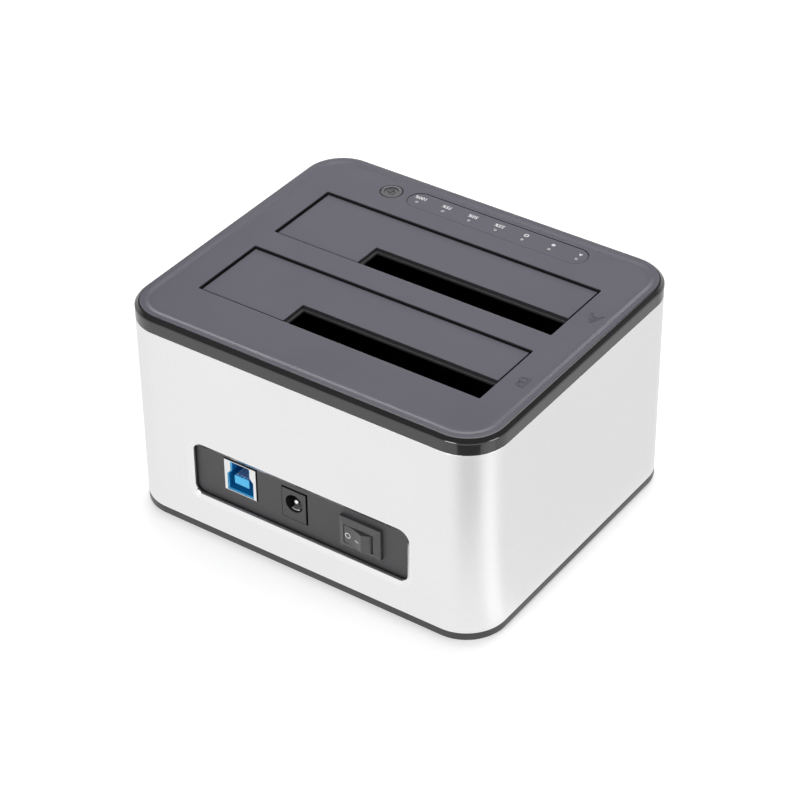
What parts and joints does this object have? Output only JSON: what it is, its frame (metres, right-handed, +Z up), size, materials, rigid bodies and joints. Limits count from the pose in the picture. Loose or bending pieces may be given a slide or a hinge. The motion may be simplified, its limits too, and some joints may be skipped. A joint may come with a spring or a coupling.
{
  "type": "hard drive docking station",
  "caption": "Desktop dock that takes bare drives upright in lidded bays, with a satin metal sleeve, dark top cover, clone button, status lamps, data and power sockets and a rocker switch.",
  "frame": {"origin": "middle of the footprint, on the surface that the feet stand on", "axes": "+X along the drive bays, +Y out of the side with the sockets, +Z up"},
  "size_m": [0.133, 0.1135, 0.0756],
  "materials": {
    "sleeve_metal": "satin, bead blasted",
    "cover_plastic": "fine matte texture, glossy rim",
    "base_plastic": "satin",
    "panel_plastic": "fine matte texture",
    "well_plastic": "matte",
    "flap_plastic": "fine matte texture",
    "button_plastic": "satin",
    "switch_plastic": "satin",
    "socket_plastic": "satin",
    "usb_plastic": "semi-gloss",
    "clear_plastic": "clear",
    "pale_plastic": "plain",
    "board": "solder mask",
    "chip": "moulded",
    "can": "drawn can",
    "ferrite": "pressed ferrite",
    "steel": "bright zinc",
    "plated": "nickel plated",
    "gilt": "gilt",
    "red_lead": "insulated wire",
    "grey_lead": "flat ribbon",
    "foot_rubber": "matte"
  },
  "bodies": {
    "case": {"base": "base_plastic", "sleeve": "sleeve_metal", "top_cover": "cover_plastic", "socket_panel": "panel_plastic", "drive_well_rear": "well_plastic", "drive_well_front": "well_plastic", "hinge_pin_rear": "steel", "hinge_pin_front": "steel", "flap_spring_rear": "steel", "flap_spring_front": "steel", "main_board": "board", "sata_socket_rear": "socket_plastic", "sata_socket_front": "socket_plastic", "sata_contacts_rear": "gilt", "sata_contacts_front": "gilt", "bridge_chip": "chip", "capacitor_1": "can", "capacitor_2": "can", "capacitor_3": "can", "inductor": "ferrite", "crystal": "can", "usb_shell": "plated", "usb_insulator": "usb_plastic", "usb_contacts": "gilt", "dc_jack": "socket_plastic", "dc_pin": "plated", "dc_contact": "plated", "switch_body": "switch_plastic", "switch_terminals": "plated", "switch_leads": "red_lead", "tact_switch": "chip", "indicator_board": "board", "indicator_inlay": "flap_plastic", "light_pipe": "clear_plastic", "status_lamps": "pale_plastic", "ribbon_lead": "grey_lead", "ribbon_plug_low": "pale_plastic", "ribbon_plug_high": "pale_plastic", "foot_1": "foot_rubber", "foot_2": "foot_rubber", "foot_3": "foot_rubber", "foot_4": "foot_rubber", "case_screws": "steel", "board_screws": "steel", "well_screws": "steel", "indicator_screws": "steel"},
    "rear_flap": {"flap_rear": "flap_plastic"},
    "front_flap": {"flap_front": "flap_plastic"},
    "button": {"clone_button": "button_plastic", "tact_plunger": "pale_plastic"},
    "rocker": {"switch_rocker": "switch_plastic"}
  },
  "joints": [
    {"name": "rear_flap_hinge", "type": "hinge", "parent": "case", "child": "rear_flap", "pos_m": [0, 0.00425, 0.0715], "axis": [-1, 0, 0], "range_deg": [0, 90], "stiffness_Nm_per_rad": 0.004, "springref_deg": -28.65},
    {"name": "front_flap_hinge", "type": "hinge", "parent": "case", "child": "front_flap", "pos_m": [0, -0.03445, 0.0715], "axis": [-1, 0, 0], "range_deg": [0, 90], "stiffness_Nm_per_rad": 0.004, "springref_deg": -28.65},
    {"name": "button_press", "type": "slide", "parent": "case", "child": "button", "axis": [0, 0, -1], "range_m": [0, 0.0005], "stiffness_N_per_m": 800, "springref_m": -0.0005},
    {"name": "rocker_tilt", "type": "hinge", "parent": "case", "child": "rocker", "pos_m": [-0.02265, 0.0496, 0.0242], "axis": [0, 0, 1], "range_deg": [0, 25]}
  ]
}
